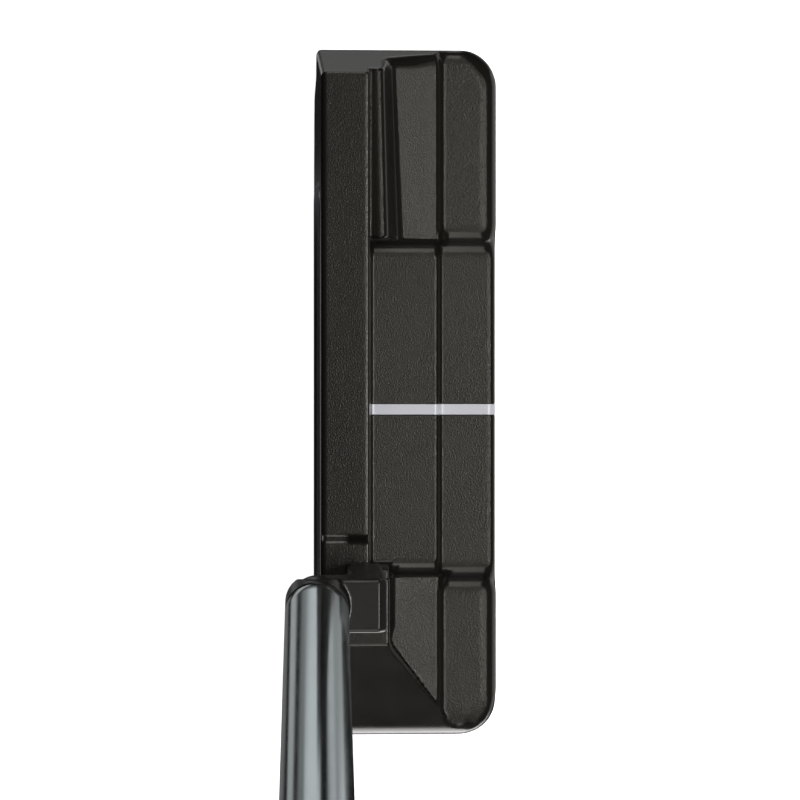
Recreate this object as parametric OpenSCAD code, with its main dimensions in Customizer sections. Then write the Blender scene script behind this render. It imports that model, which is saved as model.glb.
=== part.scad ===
// Heel-toe weighted putter with a plumber's neck, right handed.
// The head rests on its sole at z = 0. The face looks towards -Y, the toe is at -X and the
// shaft leans towards +X. The origin is on the sole, under the sight line, halfway front to back.

/* [Head] */
// Length from the sight line to the toe end
toe_len = 61.2; // [50:0.1:75]
// Length from the sight line to the heel end
heel_len = 55.2; // [45:0.1:67]
// Depth from the leading edge to the back edge
head_depth = 30.9; // [25:0.1:38]
// Height of the top line above the sole
topline_h = 25; // [20.5:0.1:31]
// Thickness of the blade along the top line
topline_w = 7.8; // [6.4:0.1:9.5]
// Loft of the face, in degrees
loft = 3; // [0:0.5:5]
// Lean of the toe end from upright, in degrees
toe_lean = 21; // [10:1:26]
// Fall of the heel shoulder from level, in degrees
heel_slope = 41.5; // [34:0.5:50]
// Length of the heel shoulder, from its crest to the heel end
heel_run = 16.9; // [14:0.1:20.5]
// Radius of the heel end under the shoulder
heel_round = 11.5; // [8:0.1:13]
// Radius of the two back corners seen from above
corner_r = 6; // [3:0.1:8]
// Length of each flat half of the sole before it curves up
sole_flat = 34; // [20:0.5:40]
// Radius of the sole's curve towards toe and heel
camber_r = 160; // [120:1:260]
// Radius of the leading edge
lead_r = 2; // [0.8:0.1:2.4]

/* [Cavity and flange] */
// Length of the heel bumper, from the cavity to the heel end
bumper_len = 27.1; // [22:0.1:33]
// Width of the lower back tier
flange_w = 10; // [8:0.1:12]
// Height of the cavity floor
cavity_h = 9.6; // [8.6:0.1:11.5]
// Height of the flange behind the cavity
flange_h = 7.6; // [6.4:0.1:8.4]
// Height of the front bumper tier at its back edge
bumper_front_h = 13; // [12:0.1:15]
// Rise of the toe bumper's front tier from its back edge towards the blade
toe_ramp = 2.4; // [0.4:0.1:4]
// Rise of the heel bumper's front tier from its back edge towards the blade
heel_ramp = 0.9; // [0.4:0.1:3]
// Height of the back bumper tier
bumper_back_h = 11.3; // [9.5:0.1:11.8]
// Radius of the round foot of each front tier's inner end
inner_r = 2.7; // [1.5:0.1:3.3]
// Length of the swept inner end of each back tier
tier_sweep = 6.4; // [4:0.1:8]
// Drop from the top line to the ledge that carries the neck
ledge_drop = 1.2; // [0.8:0.1:1.6]
// Width of the sight line
sight_w = 1.8; // [1.2:0.1:2.6]
// Depth of the sight line's paint
sight_t = 0.3; // [0.2:0.05:0.5]

/* [Face insert] */
// Distance from the heel end to the insert
insert_inset = 17.7; // [15:0.1:21]
// Metal left between the insert and the top line
insert_top = 3.6; // [2.6:0.1:4.4]
// Metal left between the insert and the sole
insert_foot = 3.2; // [2.4:0.1:4]
// Radius of the insert's corners
insert_r = 4; // [2:0.1:6]
// Thickness of the milled face plate
plate_t = 1.6; // [1.2:0.1:2]
// Thickness of the elastomer pad
pad_t = 2.6; // [2:0.1:3.2]
// Thickness of the adhesive sheet
sheet_t = 0.2; // [0.1:0.05:0.3]
// How far the plate stands out of the face
plate_proud = 0.14; // [0:0.02:0.3]

/* [Neck] */
// Distance from the heel end to the neck's centre
neck_inset = 26.3; // [23:0.1:30]
// Width of the neck's bar, toe to heel
neck_w = 8; // [6.6:0.1:9.6]
// Depth of the lower post, front to back
post_d = 5.6; // [4.8:0.1:6.8]
// Height of the top of the neck's arm above the sole
neck_h = 56; // [46:0.1:68]
// Thickness of the arm
arm_t = 8.6; // [7:0.1:10.5]
// How far the shaft's axis stands behind the leading edge
shaft_setback = 0.5; // [0:0.1:2]
// How far the lower post stands behind the shaft's axis
neck_offset = 7.6; // [6.4:0.1:9.2]
// Radius of the neck's edges
neck_r = 1.4; // [0.8:0.1:1.8]
// Radius of the tenon that is pressed into the head
tenon_r = 2.2; // [1.8:0.1:2.7]
// Length of the tenon
tenon_len = 9; // [7:0.5:11]

/* [Shaft] */
// Lie of the shaft above level, in degrees
lie = 70; // [58:0.5:78]
// Length of the club, along the shaft from the ground to the end of the grip
club_len = 889; // [740:1:1070]
// Outer diameter of the shaft's parallel tip
tip_od = 9.4; // [7.8:0.1:11.4]
// Outer diameter at the butt
butt_od = 14.7; // [12.2:0.1:17.7]
// Wall of the shaft
shaft_wall = 0.45; // [0.35:0.05:0.6]
// Length of the parallel tip
tip_len = 240; // [190:5:290]
// Length of shaft that sleeves over the neck
socket_len = 26; // [20:1:32]
// Thickness of the epoxy between neck and shaft
glue_t = 0.1; // [0.05:0.01:0.15]
// Length of collar showing under the shaft
collar_len = 3.6; // [3:0.1:5]

/* [Grip] */
// Length of the grip
grip_len = 267; // [220:1:320]
// Width of the grip at its widest
grip_w = 26.5; // [25:0.1:32]
// Depth of the grip at its fullest, flat front to back
grip_d = 29.5; // [28:0.1:36]
// Diameter of the grip's lower end
grip_tip_d = 19.6; // [18.6:0.1:24]
// Thickness of the outer skin
skin_t = 1.4; // [1:0.1:1.7]
// Thickness of the mounting tape
tape_t = 0.2; // [0.1:0.05:0.3]
// Thickness of the end cap
cap_t = 5; // [4:0.1:6]
// Radius of the vent hole in the end cap
vent_r = 1.6; // [1.2:0.1:2]
// Length of the ring at the grip's lower end
ring_len = 6; // [4:0.5:8]

/* [Sole weights] */
// Radius of a sole weight
weight_r = 6; // [5:0.1:7.2]
// Height of a sole weight
weight_h = 5; // [4:0.1:6]
// Thickness of the rubber washer over a weight
washer_t = 0.8; // [0.5:0.1:1]
// Depth of a weight's face under the sole
weight_recess = 0.6; // [0.4:0.1:1]
// Distance from the head's end to a weight's centre
weight_inset = 17.5; // [15:0.1:21]
// Size across flats of the key socket
key_af = 4; // [3:0.5:5]
// Depth of the key socket
key_deep = 2.6; // [2:0.1:3.2]

/* [Hidden] */
$fn = 64;
eps = 0.01;              // overshoot of a cutter past the surface that it cuts
arc_steps = 10;          // straight pieces in a drawn arc
front_y = -head_depth / 2;
back_y = head_depth / 2;
top_front_y = front_y + (topline_h - lead_r) * tan(loft);
top_back_y = top_front_y + topline_w;
step_y = back_y - flange_w;
step_run = 0.7;          // slope of the drop between the two tiers
wall_run = 0.4;          // draft of the blade's back wall
front_ease = 0.7;        // eased front edge of the top line
toe_r = 5.5;             // round foot of the toe end
foot_r = 2.6;            // round foot of the heel end
flange_round = 1.5;      // round back edge of the flange
bumper_round = 3;        // round back edge of the bumpers
inner_draft = 0.5;       // draft of each bumper's inner end
cavity_half = heel_len - bumper_len;
floor_half = cavity_half - inner_draft - inner_r;
sweep_a = 2 * atan2(bumper_back_h - flange_h, tier_sweep);
sweep_r = tier_sweep / 2 / sin(sweep_a);
crest_drop = 1.4;        // how far the bumper's crest lies under the top line
crest_w = 1.5;           // width of that crest behind the blade
scoop_w = 3.6;           // width of the scooped fall behind the crest
crest_h = topline_h - crest_drop;
ledge_h = topline_h - ledge_drop;
neck_x = heel_len - neck_inset;
ledge_lead = 5.2;         // length of the ledge ahead of the neck
ledge_x = neck_x - neck_w / 2 - ledge_lead;
shoulder_x = heel_len - heel_run;
pocket_deep = plate_t + pad_t + sheet_t - plate_proud;
insert_half = heel_len - insert_inset;
insert_h = (ledge_h - insert_top - insert_foot) / cos(loft);
insert_z = (insert_foot - lead_r) / cos(loft);
axis_y = front_y + shaft_setback;
post_y = axis_y + neck_offset;
tenon_wall = 0.6;        // least metal between the insert's pocket and the tenon
pocket_back = front_y + (ledge_h - insert_top - lead_r) * tan(loft) + pocket_deep / cos(loft);
tenon_y = max(post_y, pocket_back + tenon_wall + tenon_r);
crest_y = top_back_y + wall_run + crest_w;
seat_back = 1.3;         // metal behind the neck on its seat
seat_side = 0.4;         // metal beside the neck on its seat
least_scoop = 1.5;       // least width of the scooped fall
heel_crest_y = max(post_y + post_d / 2, tenon_y + tenon_r) + seat_back;
ramp_y = max(crest_y + scoop_w, heel_crest_y + least_scoop);
pad_x = neck_x - neck_w / 2 - seat_side;
elbow_r = 3.4;           // round inside corner under the arm
lean = 90 - lie;
axis_x = neck_x - neck_h * tan(lean);    // where the shaft's axis meets the ground
collar_t = neck_h / cos(lean) - tip_od / 2 * tan(lean);   // collar's foot, measured along the axis
tip_t = collar_t + collar_len;
butt_t = club_len - cap_t;
taper_t = tip_t + tip_len;
grip_t = club_len - grip_len;
tip_r = tip_od / 2;
butt_r = butt_od / 2;
bore_r = tip_r - shaft_wall;
spigot_r = bore_r - glue_t;
weight_wall = 1.6;       // metal between the insert's pocket and a weight
weight_y = front_y + (lead_r + weight_h) * tan(loft) + pocket_deep + weight_wall + weight_r;
port_top = weight_recess + weight_h + washer_t;

// Points of an arc, counter-clockwise when a1 is above a0.
function arc(x, y, r, a0, a1) = [
    for (i = [0 : arc_steps]) let (a = a0 + (a1 - a0) * i / arc_steps) [x + r * cos(a), y + r * sin(a)]
];

// Outer radius of the shaft at a distance t along its axis.
function shaft_r(t) = t < taper_t ? tip_r : tip_r + (butt_r - tip_r) * (t - taper_t) / (butt_t - taper_t);

// ---- head ----

// Stretches a flat outline in Y and Z along the head, from x0 to x1.
module along_x(x0, x1) {
    translate([x0, 0, 0])
        rotate([90, 0, 90])
            linear_extrude(x1 - x0)
                children();
}

// Stretches a flat outline in X and Z through the whole depth of the head.
module through_y() {
    rotate([90, 0, 0])
        linear_extrude(2 * head_depth, center = true)
            children();
}

// Puts the face's own plane, with its foot on the leading edge, where XZ was.
module on_face() {
    translate([0, front_y, lead_r])
        rotate([-loft, 0, 0])
            children();
}

// Section of the head in Y and Z. The parts between the face and the back edge are given in order
// from the back edge to the top line.
module section(back_h, back_round, top, blade_h) {
    face_top = front_y + (blade_h - lead_r) * tan(loft);
    polygon(concat(
        arc(back_y - lead_r, lead_r, lead_r, 270, 360),
        arc(back_y - back_round, back_h - back_round, back_round, 0, 90),
        top,
        [[face_top + front_ease, blade_h], [face_top - front_ease * tan(loft), blade_h - front_ease]],
        arc(front_y + lead_r, lead_r, lead_r, 180, 270)
    ));
}

module cavity_section(blade_h) {
    section(flange_h, flange_round, [
        [step_y + step_run, flange_h],
        [step_y, cavity_h],
        [top_back_y + wall_run, cavity_h],
        [top_back_y, blade_h]
    ], blade_h);
}

// The crest behind the blade ends at crest_back and has the height high. The front tier rises by
// ramp from its back edge.
module bumper_section(blade_h, crest_back, high, ramp) {
    ramp_h = bumper_front_h + ramp;
    section(bumper_back_h, bumper_round, concat(
        [[step_y + step_run, bumper_back_h], [step_y, bumper_front_h]],
        [for (i = [0 : arc_steps]) let (a = 90 * i / arc_steps)
            [ramp_y - (ramp_y - crest_back) * sin(a),
             ramp_h + (high - ramp_h) * (1 - cos(a))]],
        [[top_back_y + wall_run, high], [top_back_y, blade_h]]
    ), blade_h);
}

// Outline of the head in X and Z: cambered sole, leaning toe, falling heel shoulder.
module face_outline() {
    top = topline_h + 1;
    toe_x = -toe_len + toe_r;
    toe_z = camber_r - sqrt(pow(camber_r - toe_r, 2) - pow(toe_x + sole_flat, 2));
    toe_a = atan2(toe_z - camber_r, toe_x + sole_flat) + 360;
    foot_x = heel_len - foot_r;
    foot_z = camber_r - sqrt(pow(camber_r - foot_r, 2) - pow(foot_x - sole_flat, 2));
    foot_a = atan2(foot_z - camber_r, foot_x - sole_flat) + 360;
    wall_x = toe_x - toe_r * cos(toe_lean);
    wall_z = toe_z + toe_r * sin(toe_lean);
    round_x = heel_len - heel_round;
    fall_x = round_x + heel_round * sin(heel_slope);
    fall_z = ledge_h - (fall_x - shoulder_x) * tan(heel_slope);
    round_z = fall_z - heel_round * cos(heel_slope);
    intersection() {
        polygon(concat(
            arc(-sole_flat, camber_r, camber_r, toe_a, 270),
            arc(sole_flat, camber_r, camber_r, 270, foot_a),
            arc(foot_x, foot_z, foot_r, foot_a, 360),
            [[heel_len, top], [wall_x + (top - wall_z) * tan(toe_lean), top]],
            arc(toe_x, toe_z, toe_r, 180 - toe_lean, toe_a)
        ));
        polygon(concat(
            [[-toe_len - 1, -heel_round], [heel_len, min(-heel_round, round_z - 1)]],
            arc(round_x, round_z, heel_round, 0, 90 - heel_slope),
            [[shoulder_x, ledge_h], [shoulder_x, top], [-toe_len - 1, top]]
        ));
    }
}

// Outline of the head from above, with round back corners.
module plan_outline() {
    translate([-toe_len, front_y])
        square([toe_len + heel_len, head_depth - corner_r]);
    translate([-toe_len + corner_r, front_y])
        square([toe_len + heel_len - 2 * corner_r, head_depth]);
    for (x = [-toe_len + corner_r, heel_len - corner_r])
        translate([x, back_y - corner_r])
            circle(corner_r);
}

// Stretches a flat outline in X and Z from y0 to the back. side is -1 at the toe, 1 at the heel.
module inner_end(side, y0) {
    mirror([side < 0 ? 1 : 0, 0, 0])
        translate([0, y0, 0])
            rotate([90, 0, 0])
                mirror([0, 0, 1])
                    linear_extrude(head_depth)
                        children();
}

// The space that a bumper's inner end leaves: over the cavity's floor, and over the swept end of
// the back tier.
module inner_space(side) {
    top = topline_h + 1;
    inner_end(side, top_back_y + wall_run)
        polygon(concat(
            [[floor_half - eps, cavity_h]],
            arc(floor_half, cavity_h + inner_r, inner_r, 270, 360),
            [[cavity_half, top], [floor_half - eps, top]]
        ));
    intersection() {
        inner_end(side, step_y)
            polygon(concat(
                [[floor_half - eps, flange_h]],
                arc(floor_half, flange_h + sweep_r, sweep_r, 270, 270 + sweep_a),
                arc(floor_half + tier_sweep, bumper_back_h - sweep_r, sweep_r, 90 + sweep_a, 90),
                [[floor_half + tier_sweep, top], [floor_half - eps, top]]
            ));
        along_x(-toe_len, heel_len)
            polygon([[step_y, bumper_front_h], [step_y + step_run, bumper_back_h],
                     [step_y + step_run, flange_h - 1], [back_y + 1, flange_h - 1],
                     [back_y + 1, top], [step_y, top]]);
    }
}

// The shoulder's body: it widens from the neck's seat to the whole front tier at the heel end.
// The head's own outline gives it its slope.
module heel_wedge() {
    tier_x = shoulder_x + (ledge_h - bumper_front_h) / tan(heel_slope);
    translate([0, 0, lead_r])
        linear_extrude(ledge_h - lead_r)
            polygon([[shoulder_x - 1, top_back_y - 1], [heel_len, top_back_y - 1], [heel_len, step_y],
                     [tier_x, step_y], [shoulder_x + 0.6, heel_crest_y], [shoulder_x - 1, heel_crest_y]]);
}

// Insert outline on the face, in the face's own plane.
module insert_outline() {
    r = insert_r;
    for (x = [-insert_half + r, insert_half - r], z = [insert_z + r, insert_z + insert_h - r])
        translate([x, z])
            circle(r);
    translate([-insert_half + r, insert_z])
        square([2 * (insert_half - r), insert_h]);
    translate([-insert_half, insert_z + r])
        square([2 * insert_half, insert_h - 2 * r]);
}

// A slab of the insert's outline, from a depth behind the face for a thickness.
module insert_slab(depth, thickness) {
    on_face()
        translate([0, depth + thickness, 0])
            rotate([90, 0, 0])
                linear_extrude(thickness)
                    insert_outline();
}

// The painted line's section: a band that follows the floor, the step and the flange.
module sight_band() {
    y0 = top_back_y + wall_run;
    y1 = back_y - flange_round;
    polygon([
        [y0, cavity_h - sight_t], [step_y - sight_t / 2, cavity_h - sight_t],
        [step_y + step_run - sight_t / 2, flange_h - sight_t], [y1, flange_h - sight_t],
        [y1, flange_h], [step_y + step_run, flange_h], [step_y, cavity_h], [y0, cavity_h]
    ]);
}

module weight_places() {
    at_toe_weight()
        children();
    at_heel_weight()
        children();
}

module head_body() {
    color("#2b2a27")
    difference() {
        intersection() {
            linear_extrude(topline_h + 1)
                plan_outline();
            through_y()
                face_outline();
            union() {
                along_x(-cavity_half, ledge_x)
                    cavity_section(topline_h);
                along_x(ledge_x, cavity_half)
                    cavity_section(ledge_h);
                difference() {
                    along_x(-toe_len, -floor_half)
                        bumper_section(topline_h, crest_y, crest_h, toe_ramp);
                    inner_space(-1);
                }
                difference() {
                    along_x(floor_half, heel_len)
                        bumper_section(ledge_h, heel_crest_y, ledge_h, heel_ramp);
                    inner_space(1);
                }
                translate([pad_x, top_back_y - 1, lead_r])
                    cube([cavity_half - pad_x + 1, heel_crest_y - top_back_y + 1, ledge_h - lead_r]);
                heel_wedge();
            }
        }
        insert_slab(-1, pocket_deep + 1);
        along_x(-sight_w / 2, sight_w / 2)
            sight_band();
        translate([neck_x, tenon_y, ledge_h - tenon_len])
            cylinder(r = tenon_r, h = tenon_len + 2);
        weight_places()
            translate([0, 0, -1])
                cylinder(r = weight_r, h = port_top + 1);
    }
}

// ---- face insert ----

module face_plate() {
    color("#4a4c50")
    insert_slab(-plate_proud, plate_t);
}

module insert_pad() {
    color("#20303a")
    insert_slab(plate_t - plate_proud, pad_t);
}

module insert_adhesive() {
    color("#d8d8d0")
    insert_slab(plate_t - plate_proud + pad_t, sheet_t);
}

module sight_line() {
    color("#dcdce0")
    along_x(-sight_w / 2, sight_w / 2)
        sight_band();
}

// ---- sole weights ----

module weight_puck() {
    color("#8d8f90")
    difference() {
        translate([0, 0, weight_recess])
            cylinder(r = weight_r, h = weight_h);
        translate([0, 0, weight_recess - eps])
            cylinder(d = key_af / cos(30), h = key_deep + eps, $fn = 6);
    }
}

module weight_washer() {
    color("#151515")
    translate([0, 0, weight_recess + weight_h])
        difference() {
            cylinder(r = weight_r, h = washer_t);
            translate([0, 0, -eps])
                cylinder(r = weight_r / 2, h = washer_t + 2 * eps);
        }
}

module at_toe_weight() {
    translate([-toe_len + weight_inset, weight_y, 0])
        children();
}

module at_heel_weight() {
    translate([heel_len - weight_inset, weight_y, 0])
        children();
}

// ---- neck and shaft ----

// Local frame of the shaft: its axis is Z and its foot is where the axis meets the ground.
module on_axis() {
    translate([axis_x, axis_y, 0])
        rotate([0, lean, 0])
            children();
}

// An upright bar with round corners, w along X and d along Y.
module round_bar(w, d, h) {
    r = neck_r;
    translate([-w / 2 + r, -d / 2, 0])
        cube([w - 2 * r, d, h]);
    translate([-w / 2, -d / 2 + r, 0])
        cube([w, d - 2 * r, h]);
    for (x = [-w / 2 + r, w / 2 - r], y = [-d / 2 + r, d / 2 - r])
        translate([x, y, 0])
            cylinder(r = r, h = h);
}

// The arm that carries the shaft forward of the post, with a round front end.
module arm() {
    translate([neck_x, 0, neck_h - arm_t]) {
        translate([-neck_w / 2, axis_y, 0])
            cube([neck_w, neck_offset, arm_t]);
        translate([0, axis_y, 0])
            cylinder(d = neck_w, h = arm_t);
    }
}

// The round inside corner between the post and the arm.
module elbow() {
    inner_y = post_y - post_d / 2;
    translate([neck_x - neck_w / 2 + neck_r, inner_y - elbow_r, neck_h - arm_t - elbow_r])
        difference() {
            cube([neck_w - 2 * neck_r, elbow_r + neck_r, elbow_r + eps]);
            translate([-1, 0, 0])
                rotate([0, 90, 0])
                    cylinder(r = elbow_r, h = neck_w);
        }
}

module plumbers_neck() {
    color("#262523")
    union() {
        translate([neck_x, post_y, ledge_h])
            round_bar(neck_w, post_d, neck_h - ledge_h);
        arm();
        elbow();
        translate([neck_x, tenon_y, ledge_h - tenon_len])
            cylinder(r = tenon_r, h = tenon_len + eps);
        on_axis() {
            translate([0, 0, collar_t])
                cylinder(r = tip_r, h = collar_len);
            translate([0, 0, collar_t])
                cylinder(r = spigot_r, h = collar_len + socket_len);
        }
    }
}

module shaft() {
    color("#5a6062")
    on_axis()
        rotate_extrude()
            polygon([
                [bore_r, tip_t], [tip_r, tip_t], [tip_r, taper_t], [butt_r, butt_t],
                [butt_r - shaft_wall, butt_t], [bore_r, taper_t]
            ]);
}

module hosel_epoxy() {
    color("#c9b98a")
    on_axis()
        translate([0, 0, tip_t])
            difference() {
                cylinder(r = bore_r, h = socket_len);
                translate([0, 0, -eps])
                    cylinder(r = spigot_r, h = socket_len + 2 * eps);
            }
}

// ---- grip ----

grip_rings = 18;         // rings along the grip's loft
grip_sides = 40;         // points round each ring
core_foot = grip_t + ring_len;
grip_top = club_len - cap_t;

// Share of the way from the grip's lower end, 0, to its cap, 1.
function grip_share(t) = (t - grip_t) / (grip_top - grip_t);

// Fullness of the palm swell: none at the lower end, most near the butt.
function swell(s) = pow(sin(90 * min(1, s / 0.82)), 2);

// A point of the grip's section at distance t, for angle a, set in by an inset.
// The flat front lies towards -X, the palm swell towards +X.
function grip_point(t, a, inset) =
    let (
        k = swell(grip_share(t)),
        half_w = grip_tip_d / 2 + k * (grip_w - grip_tip_d) / 2 - inset,
        flat_x = grip_tip_d / 2 - 0.4 + k * 1.6 - inset,
        back_x = grip_tip_d / 2 + k * (grip_d - grip_tip_d - 1.6 + 0.4) - inset,
        x = (cos(a) > 0 ? back_x : grip_tip_d / 2 + k * 3.2 - inset) * cos(a)
    ) [max(x, -flat_x), half_w * sin(a), t];

// A lofted solid of the grip's form between two distances, set in by an inset.
module grip_loft(t0, t1, inset) {
    points = [for (i = [0 : grip_rings], j = [0 : grip_sides - 1])
        grip_point(t0 + (t1 - t0) * i / grip_rings, 360 * j / grip_sides, inset)];
    n = grip_sides;
    faces = concat(
        [[for (j = [0 : n - 1]) j]],
        [[for (j = [n - 1 : -1 : 0]) grip_rings * n + j]],
        [for (i = [0 : grip_rings - 1], j = [0 : n - 1]) each [
            [i * n + j, (i + 1) * n + (j + 1) % n, i * n + (j + 1) % n],
            [i * n + j, (i + 1) * n + j, (i + 1) * n + (j + 1) % n]
        ]]
    );
    polyhedron(points, faces, convexity = 4);
}

// The space of the taped shaft, from t0 to t1.
module taped_shaft(t0, t1) {
    rotate_extrude()
        polygon([[0, t0], [shaft_r(t0) + tape_t, t0], [shaft_r(t1) + tape_t, t1], [0, t1]]);
}

module grip_tape() {
    color("#e6dfc8")
    on_axis()
        rotate_extrude()
            polygon([
                [shaft_r(grip_t), grip_t], [shaft_r(grip_t) + tape_t, grip_t],
                [butt_r + tape_t, butt_t], [butt_r, butt_t]
            ]);
}

module grip_core() {
    color("#303030")
    on_axis()
        difference() {
            grip_loft(core_foot, grip_top, skin_t);
            taped_shaft(core_foot - 1, grip_top + 1);
        }
}

module grip_skin() {
    color("#1b1b1c")
    on_axis()
        difference() {
            grip_loft(core_foot, grip_top, 0);
            grip_loft(core_foot - eps, grip_top + eps, skin_t);
            seam_channel(0);
        }
}

// The channel down the back of the grip in which the seam's thread lies, set in by a gap.
module seam_channel(gap) {
    w = 1.6 - gap;
    t0 = core_foot + 8;
    t1 = grip_top - 8;
    n = grip_rings;
    back = function (t) grip_point(t, 0, 0)[0];
    rotate([90, 0, 0])
        linear_extrude(w, center = true)
            polygon(concat(
                [for (i = [0 : n]) let (t = t0 + (t1 - t0) * i / n) [back(t) - 0.5, t]],
                [for (i = [n : -1 : 0]) let (t = t0 + (t1 - t0) * i / n) [back(t) + (gap > 0 ? -0.06 : 1), t]]
            ));
}

module grip_seam_thread() {
    color("#8a8c8e")
    on_axis()
        seam_channel(0.04);
}

module grip_tip_ring() {
    color("#101010")
    on_axis()
        difference() {
            rotate_extrude()
                polygon([[0, grip_t], [grip_tip_d / 2 - 1, grip_t], [grip_tip_d / 2 - 0.4, grip_t + 1],
                         [grip_tip_d / 2 - 0.4, core_foot], [0, core_foot]]);
            taped_shaft(grip_t - 1, core_foot + 1);
        }
}

// The grip's end section, grown or set in, as a flat outline.
module cap_outline(inset) {
    polygon([for (j = [0 : grip_sides - 1])
        let (p = grip_point(grip_top, 360 * j / grip_sides, inset)) [p[0], p[1]]]);
}

module grip_end_cap() {
    color("#101010")
    on_axis()
        translate([0, 0, grip_top])
            difference() {
                union() {
                    linear_extrude(cap_t - 1.6)
                        cap_outline(0);
                    linear_extrude(cap_t - 0.7)
                        cap_outline(0.8);
                    linear_extrude(cap_t)
                        cap_outline(2.2);
                }
                translate([0, 0, -1])
                    cylinder(r = vent_r, h = cap_t + 2);
            }
}

head_body();
plumbers_neck();
face_plate();
insert_pad();
insert_adhesive();
sight_line();
at_toe_weight() weight_puck();  // toe_weight
at_heel_weight() weight_puck();  // heel_weight
at_toe_weight() weight_washer();  // toe_weight_washer
at_heel_weight() weight_washer();  // heel_weight_washer
shaft();
hosel_epoxy();
grip_tape();
grip_core();
grip_skin();
grip_seam_thread();
grip_tip_ring();
grip_end_cap();
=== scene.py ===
"""Blade putter with a plumber's neck: the visible pieces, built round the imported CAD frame.

Millimetres are used in the shape code, as in the CAD source. Blender's own units are metres.
Toe is -X, heel +X, the face looks towards -Y and the sole rests on Z = 0.
"""

import math

import bmesh
import bpy
import numpy as np
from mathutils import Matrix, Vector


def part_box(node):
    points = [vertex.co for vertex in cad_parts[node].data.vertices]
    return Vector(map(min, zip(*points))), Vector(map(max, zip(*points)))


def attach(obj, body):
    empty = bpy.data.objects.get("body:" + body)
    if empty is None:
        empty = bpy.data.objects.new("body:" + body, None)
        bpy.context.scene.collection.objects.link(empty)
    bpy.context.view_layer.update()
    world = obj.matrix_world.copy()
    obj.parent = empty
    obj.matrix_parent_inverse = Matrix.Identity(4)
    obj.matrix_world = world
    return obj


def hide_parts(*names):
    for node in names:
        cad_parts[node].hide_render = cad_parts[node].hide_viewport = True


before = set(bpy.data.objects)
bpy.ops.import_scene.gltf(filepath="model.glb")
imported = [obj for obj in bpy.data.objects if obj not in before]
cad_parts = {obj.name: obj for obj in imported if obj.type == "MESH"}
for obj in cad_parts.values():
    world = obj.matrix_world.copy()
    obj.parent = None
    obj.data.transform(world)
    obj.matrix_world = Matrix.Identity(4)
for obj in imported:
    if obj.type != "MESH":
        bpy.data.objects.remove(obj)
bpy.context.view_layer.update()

import openvdb
from mathutils import Matrix, Vector

bl_info = {
    "name": "Blade putter",
    "version": (1, 0, 0),
    "blender": (4, 5, 0),
    "location": "View3D > Sidebar > Putter",
    "description": "Builds a heel-toe weighted putter round its CAD frame",
    "category": "Object",
}

MM = 0.001


def corners(node):
    """Lowest and highest corners of a CAD node, in millimetres."""
    return [np.array(corner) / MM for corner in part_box(node)]


# Sizes in millimetres that the frame gives.
HEAD_LO, HEAD_HI = corners("head_body")
NECK_LO, NECK_HI = corners("plumbers_neck")
LINE_HALF, FLOOR_H = corners("sight_line")[1][[0, 2]]
PLATE_HALF = corners("face_plate")[1][0]

# Head, millimetres.
TOE_X, FRONT_Y = HEAD_LO[:2]
HEEL_X, BACK_Y, TOP_H = HEAD_HI
LEDGE_H = TOP_H - 1.2
FLANGE_H = 7.6
LEAD_R = 2.0
LOFT = math.radians(3)
BLADE_BACK = FRONT_Y + (TOP_H - LEAD_R) * math.tan(LOFT) + 7.8
BLADE_DRAFT = 0.045
DROP_X = 20.3
DROP = math.radians(42)
TOE_LEAN = math.radians(21)
TOE_FOOT_R = 5.5
SOLE_FLAT = 34.0
CAMBER_R = 160.0
SHOULDER_X = HEEL_X - 16.9
HEEL_FALL = math.radians(41.5)
HEEL_DRAFT = math.radians(10)
HEEL_FOOT_X = HEEL_X + 0.7
HEEL_FOOT_H = 3.0
HEEL_ROUND = 7.0
CORNER_R = 6.0
BACK_EDGE_R = 1.5
STEP_Y = BACK_Y - 10.0
STEP_RUN = 0.7
TIER_FRONT_H = 13.0
TIER_BACK_H = 11.3
RAMP_TOP_Y = -0.945
TOE_INNER_X = -28.1
HEEL_INNER_X = 27.6
FLOOR_HALF = 24.9
SEAT_X = 26.0
SEAT_BACK = -3.25
RIDGE_Y = -4.15
RIDGE_BACK = -3.4
RIDGE_H = TOP_H - 1.4
TENON_R = 2.2
TENON_L = 9.0
PORT_R = 6.02
PAINT_D = 0.3
PAINT_LOW = FLANGE_H - 2.4

# Face plate, millimetres. Foot and tall are measured up the lofted face, from the leading edge.
PLATE_FOOT_H = 3.2
PLATE_TOP_H = LEDGE_H - 3.6
PLATE_FOOT = (PLATE_FOOT_H - LEAD_R) / math.cos(LOFT)
PLATE_TALL = (PLATE_TOP_H - PLATE_FOOT_H) / math.cos(LOFT)
PLATE_CORNER = 4.0
PLATE_T = 1.6
PLATE_PROUD = 0.14

# Neck and shaft, millimetres.
LEAN = math.radians(20)
AXIS_DIR = np.array([math.sin(LEAN), 0.0, math.cos(LEAN)])
AXIS_Y = FRONT_Y + 0.5
TIP_R = 4.7
NECK_X = HEEL_X - 26.3
NECK_H = 56.0
NECK_W = 8.0
ARM_T = 8.6
POST_D = 5.6
BEND_R = 3.4
POST_Y = AXIS_Y + 7.6
AXIS_FOOT = np.array([NECK_X - NECK_H * math.tan(LEAN), AXIS_Y, 0.0])
COLLAR_T = NECK_H / math.cos(LEAN) - TIP_R * math.tan(LEAN)
TIP_T = COLLAR_T + 3.6
SPIGOT_R = TIP_R - 0.55
SPIGOT_L = 26.0
TAPER_T = TIP_T + 240.0
GRIP_T = 622.0
BUTT_T = 884.0
CLUB_T = 889.0
BUTT_R = 7.35
CORE_T = GRIP_T + 6.0
SKIN_T = CLUB_T - 5.0
GRIP_TIP_R = 9.8

# Stage: the camera's place in millimetres and its lens, and metres for the lights and the table.
CAMERA_AT = (-1.58, -14.94, 381.5)
CAMERA_TILT = math.radians(2.16)
CAMERA_LENS = 99.135
LIGHT_FAR = 2.2
TABLE_HALF = 40.0


# ---- colour, nodes and materials ----

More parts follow.
